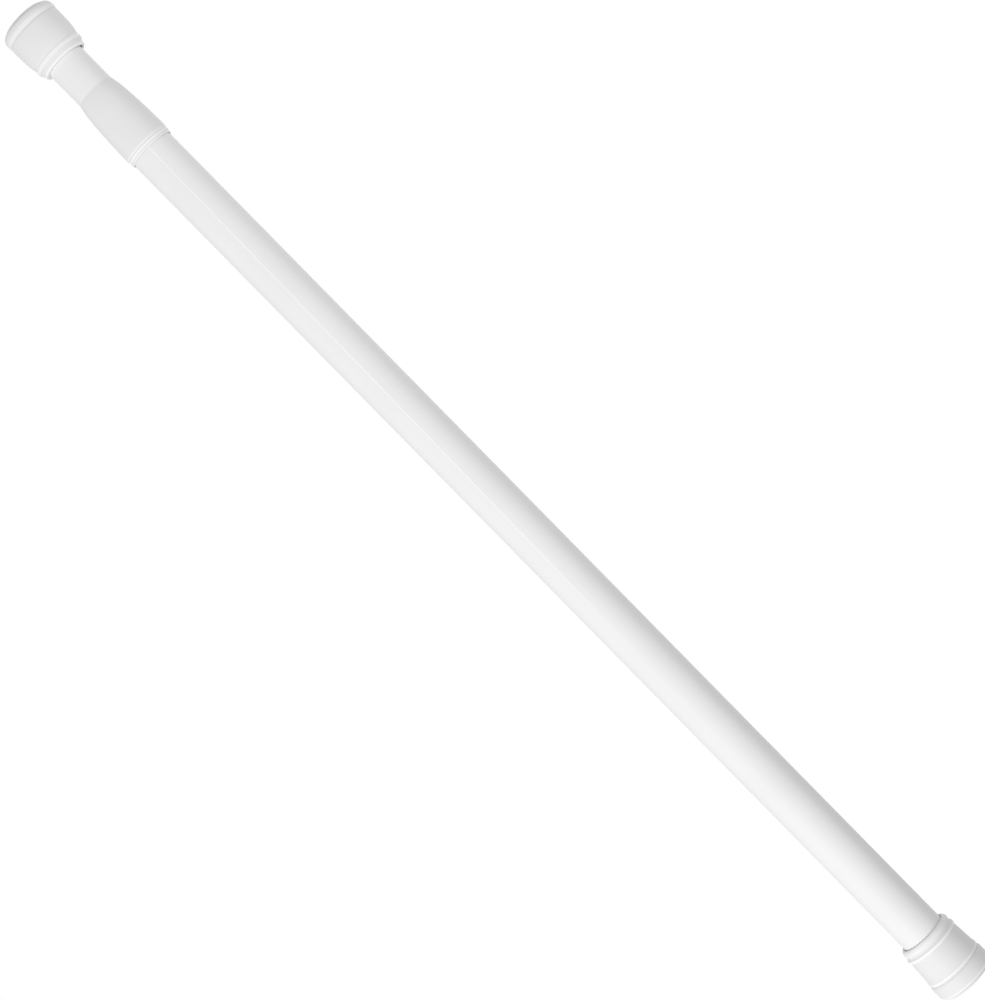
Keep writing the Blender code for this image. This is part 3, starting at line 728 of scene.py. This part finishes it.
def rolled_thread_tree():
    """A rolled thread's skin round X: a flat grid rolled up, with the ridge winding round it."""
    numbers = ["Start", "Length", "Root Radius", "Depth", "Pitch", "Run Out"]
    tree, given = new_shape("rolled_thread", numbers)
    sheet, share, around = flat_sheet(tree, given)
    reach = worked(tree, "MULTIPLY", share, given["Length"])
    turns = worked(tree, "SUBTRACT", worked(tree, "DIVIDE", reach, given["Pitch"]), around)
    phase = worked(tree, "FRACT", worked(tree, "ADD", turns, 1.0))
    slope = worked(tree, "ABSOLUTE", worked(tree, "MULTIPLY_ADD", phase, 2.0, -1.0))
    flank = {"Value": slope, "From Min": 0.25, "From Max": 0.75}
    crest = add(tree, "ShaderNodeMapRange", flank).outputs["Result"]
    # The ridge runs out at both ends, as the rolls lift off the steel.
    left = worked(tree, "MINIMUM", reach, worked(tree, "SUBTRACT", given["Length"], reach))
    fade = {"Value": left, "From Min": 0.0, "From Max": given["Run Out"]}
    full = add(tree, "ShaderNodeMapRange", fade).outputs["Result"]
    height = worked(tree, "MULTIPLY", worked(tree, "MULTIPLY", crest, full), given["Depth"])
    radius = worked(tree, "ADD", given["Root Radius"], height)
    along = worked(tree, "ADD", reach, given["Start"])
    turn = worked(tree, "MULTIPLY", around, math.tau)
    rolled = laid_round(tree, sheet, along, radius, turn)
    return finished(tree, rolled, given["Finish"])


thread_tree = rolled_thread_tree()


def threaded(name, start, end, root, depth, pitch, steps):
    """A thread from start to end along X, as a closed skin that sits on its shaft."""
    values = {
        "Start": start,
        "Length": end - start,
        "Root Radius": root,
        "Depth": depth,
        "Pitch": pitch,
        "Run Out": pitch,
        "Sides": 41,
        "Steps": steps,
        "Finish": zinc,
    }
    thread = grown(name, thread_tree, values)
    skin = thread.modifiers.new("Skin", "SOLIDIFY")
    skin.thickness = root * 0.1
    skin.offset = -1
    return settled(thread)


def plain_washer(name, node, bore, body):
    """A punched washer in place of a packed one, rounded where the punch went in."""
    low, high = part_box(node)
    thick = high.x - low.x
    line = softened(
        [
            (0.0, bore, 0.00015),
            (0.0, high.z, 0.00015),
            (thick, high.z, 0.00005),
            (thick, bore, 0.00005),
        ],
        steps=3,
    )
    washer = turned(name, line, zinc, start=low.x, sides=72)
    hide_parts(node)
    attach(washer, body)


def cross_head_screw(name, tip, head, facing):
    """A pan head screw with a cross recess, its thread wound on; facing 1 has its head at high X."""
    shank = 0.00142
    radius = 0.0035
    depth = 0.0011
    recess_span = 0.0034
    recess_width = 0.0007
    recess_depth = 0.0017
    recess_foot = 0.45
    thread_inset = 0.0012
    length = abs(head - tip)
    line = softened(
        [
            (0.0, 0.0, 0.0),
            (0.0015, shank, 0.0),
            (length - depth, shank, 0.0001),
            (length - depth, radius, 0.0001),
            (length - depth / 2, radius, 0.0002),
            (length, radius * 0.8, 0.0003),
            (length, 0.0, 0.0),
        ]
    )
    screw = turned(name, line, zinc, start=tip, facing=facing, sides=48)
    for wing in range(2):
        shape = bmesh.new()
        bmesh.ops.create_cube(shape, size=1.0)
        # The recess narrows inwards, as the driver's tip does.
        for vert in shape.verts:
            span = recess_span * (1.0 if vert.co.x * facing > 0 else recess_foot)
            wide, high = (recess_width, span) if wing else (span, recess_width)
            vert.co = (head + vert.co.x * recess_depth, vert.co.y * wide, vert.co.z * high)
        mesh = bpy.data.meshes.new("driver")
        shape.to_mesh(mesh)
        shape.free()
        driver = bpy.data.objects.new("driver", mesh)
        bpy.context.scene.collection.objects.link(driver)
        cut = screw.modifiers.new("Recess", "BOOLEAN")
        cut.object = driver
        cut.operation = "DIFFERENCE"
        cut.solver = "EXACT"
        settled(screw)
        bpy.data.objects.remove(driver)
    start, end = sorted([tip + facing * thread_inset, head - facing * thread_inset])
    thread = threaded("wound", start, end, root=0.00148, depth=0.00022, pitch=0.0011, steps=121)
    both = bmesh.new()
    both.from_mesh(screw.data)
    both.from_mesh(thread.data)
    both.to_mesh(screw.data)
    both.free()
    screw.data.shade_smooth()
    screw.data.set_sharp_from_angle(angle=math.radians(35))
    bpy.data.objects.remove(thread)
    return screw


zinc = zinc_plate()
dressed(["lock_spindle", "stem_nut"], zinc)
plain_washer("stem_washer_zinc", "stem_washer", bore=0.0043, body="spindle")
plain_washer("thrust_washer_zinc", "thrust_washer", bore=0.0046, body="spindle")
plain_washer("stop_washer_zinc", "stop_washer", bore=0.0018, body="spindle")

spindle_low, spindle_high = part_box("lock_spindle")
lock_end = 0.0385
lock_pitch = 0.003
thread_sizes = {"root": 0.00402, "depth": 0.0002, "steps": 161}
lock_thread = threaded("spindle_thread", spindle_low.x, lock_end, pitch=lock_pitch, **thread_sizes)
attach(lock_thread, "spindle")
stem_start = 0.1480
stem_end = spindle_high.x - 0.0004
stem_pitch = 0.00125
stem_thread = threaded("stem_thread", stem_start, stem_end, pitch=stem_pitch, **thread_sizes)
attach(stem_thread, "spindle")

stop_low, stop_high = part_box("stop_screw")
stop_screw = cross_head_screw("stop_screw_zinc", tip=stop_high.x, head=stop_low.x, facing=-1)
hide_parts("stop_screw")
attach(stop_screw, "spindle")

cap_screw_low, cap_screw_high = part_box("cap_screw")
cap_screw = cross_head_screw("cap_screw_zinc", tip=cap_screw_low.x, head=cap_screw_high.x, facing=1)
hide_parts("cap_screw")
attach(cap_screw, "inner")

# Press spring: hard drawn steel wire coiled cold, its last turn at each end closed so that it
# sits square on the thrust collar and on the bush.


def drawn_wire():
    """Hard drawn spring wire: grey steel under a patchy film of oil."""
    material, tree, shader, place = new_finish("drawn_spring_wire")
    patch_width = 0.004
    patch = cloudy(tree, place, patch_width, 4.0)
    tree.links.new(tinted(tree, patch, "#85868A", "#9FA1A4"), shader.inputs["Base Color"])
    dulled(tree, shader, patch, 0.25, 0.42)
    embossed(tree, shader, patch, 0.1, 0.00002)
    shader.inputs["Metallic"].default_value = 1.0
    return material


def coil_tree():
    """A closed end compression spring along X, swept round a helix."""
    numbers = ["Start", "Length", "Coil Radius", "Wire Radius", "Turns", "Closed Pitch"]
    tree, given = new_shape("closed_end_coil", numbers)
    row = add(tree, "GeometryNodeMeshLine", {"Count": given["Steps"]})
    path = add(tree, "GeometryNodeMeshToCurve", {"Mesh": row.outputs[0]})
    along = add(tree, "GeometryNodeSplineParameter").outputs["Factor"]
    turns = worked(tree, "MULTIPLY", along, given["Turns"])
    # One closed turn at each end, and the rest of the length shared by the open turns.
    inside = worked(tree, "MULTIPLY_ADD", given["Closed Pitch"], -2.0, given["Length"])
    last = worked(tree, "SUBTRACT", given["Turns"], 1.0)
    limits = {"From Min": 1.0, "From Max": last, "To Min": 0.0, "To Max": inside}
    opened = add(tree, "ShaderNodeMapRange", {"Value": turns, **limits}).outputs["Result"]
    over = worked(tree, "MAXIMUM", worked(tree, "SUBTRACT", turns, last), 0.0)
    closed = worked(tree, "ADD", worked(tree, "MINIMUM", turns, 1.0), over)
    reach = worked(tree, "MULTIPLY_ADD", closed, given["Closed Pitch"], opened)
    far = worked(tree, "ADD", reach, given["Start"])
    turn = worked(tree, "MULTIPLY", turns, math.tau)
    wound = laid_round(tree, path.outputs[0], far, given["Coil Radius"], turn)
    circle = {"Resolution": given["Sides"], "Radius": given["Wire Radius"]}
    section = add(tree, "GeometryNodeCurvePrimitiveCircle", circle).outputs["Curve"]
    sweep = {"Curve": wound, "Profile Curve": section, "Fill Caps": True}
    wire = add(tree, "GeometryNodeCurveToMesh", sweep)
    return finished(tree, wire.outputs[0], given["Finish"])


spring_low, spring_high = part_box("press_spring")
spring_length = spring_high.x - spring_low.x
wire_radius = 0.001
coil = grown(
    "press_spring_wire",
    coil_tree(),
    {
        "Start": spring_low.x + wire_radius,
        "Length": spring_length - 2 * wire_radius,
        "Coil Radius": 0.0085,
        "Wire Radius": wire_radius,
        "Turns": 11.0,
        "Closed Pitch": 2 * wire_radius + slide_gap,
        "Sides": 16,
        "Steps": 430,
        "Finish": drawn_wire(),
    },
)
settled(coil)
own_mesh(coil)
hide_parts("press_spring")
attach(coil, "spindle")

# Studio: a pale floor well below the rod, an even pale surround, a soft lamp in front of and
# above the fixed end, so that the rod is brightest there, as in the photograph, and a weak
# one below the moving end, which lifts its shaded side.


def pale_floor():
    """Matt painted board: nearly white with a faint mottle."""
    material, tree, shader, place = new_finish("pale_painted_board")
    mottle_width = 0.05
    mottle = cloudy(tree, place, mottle_width, 3.0)
    tree.links.new(tinted(tree, mottle, "#F6F6F6", "#FAFAFA"), shader.inputs["Base Color"])
    shader.inputs["Roughness"].default_value = 0.8
    return material


rod_middle = (Vector(cad_box[0]) + Vector(cad_box[1])) / 2
floor_depth = 1.4
floor_radius = 1.15
floor_mesh = bpy.data.meshes.new("floor")
floor_shape = bmesh.new()
bmesh.ops.create_circle(floor_shape, cap_ends=True, segments=96, radius=floor_radius)
bmesh.ops.translate(floor_shape, vec=(rod_middle.x, 0.0, -floor_depth), verts=floor_shape.verts)
floor_shape.to_mesh(floor_mesh)
floor_shape.free()
floor_mesh.materials.append(pale_floor())
floor = bpy.data.objects.new("floor", floor_mesh)
bpy.context.scene.collection.objects.link(floor)

# The camera and whatever is glossy see it as white, and it lights the rod less than that.
surround = bpy.data.worlds.new("pale_surround")
surround.use_nodes = True
air = surround.node_tree
air.nodes.clear()
ray = add(air, "ShaderNodeLightPath")
seen = add(
    air,
    "ShaderNodeMath",
    {0: ray.outputs["Is Camera Ray"], 1: ray.outputs["Is Glossy Ray"]},
    operation="MAXIMUM",
)
shown = add(
    air,
    "ShaderNodeMath",
    {0: seen.outputs[0], 1: ray.outputs["Is Transmission Ray"]},
    operation="MAXIMUM",
)
dim = add(air, "ShaderNodeBackground", {"Color": (1, 1, 1, 1), "Strength": 0.495})
white = add(air, "ShaderNodeBackground", {"Color": (1, 1, 1, 1), "Strength": 1.0})
mixed = add(air, "ShaderNodeMixShader", {0: shown.outputs[0], 1: dim.outputs[0], 2: white.outputs[0]})
add(air, "ShaderNodeOutputWorld", {"Surface": mixed.outputs[0]})
bpy.context.scene.world = surround


def soft_lamp(name, place, size, power):
    """A round soft lamp that faces the rod square on."""
    light = bpy.data.lights.new(name, "AREA")
    light.shape = "DISK"
    light.size = size
    light.energy = power
    lamp = bpy.data.objects.new(name, light)
    lamp.location = place
    lamp.rotation_euler = Vector((0.0, place[1], place[2])).to_track_quat("Z", "Y").to_euler()
    bpy.context.scene.collection.objects.link(lamp)


soft_lamp("key_lamp", place=(-0.32, -1.90, 1.63), size=1.3, power=38.2)
soft_lamp("fill_lamp", place=(0.62, -0.20, -0.47), size=0.3, power=0.53)

# Camera: level with the rod, square to its middle and rolled, so that the rod runs from the
# upper left to the lower right.
view_distance = 1.32
view_roll = math.radians(225.49)
pixels_per_metre = 1923.4
rod_off_centre = (4.0, 0.2)
back = Vector((0.0, -1.0, 0.0))
level = Vector((1.0, 0.0, 0.0))
upright = Vector((0.0, 0.0, 1.0))
right = level * math.cos(view_roll) + upright * math.sin(view_roll)
up = upright * math.cos(view_roll) - level * math.sin(view_roll)
lens = bpy.data.cameras.new("camera")
lens.lens = 36 * view_distance * pixels_per_metre / 1000
camera = bpy.data.objects.new("camera", lens)
turned_view = Matrix((right, up, back)).transposed().to_4x4()
spot = rod_middle + back * view_distance
spot -= (right * rod_off_centre[0] + up * rod_off_centre[1]) / pixels_per_metre
camera.matrix_world = Matrix.Translation(spot) @ turned_view
bpy.context.scene.collection.objects.link(camera)
bpy.context.scene.camera = camera
bpy.context.scene.view_settings.view_transform = "Standard"
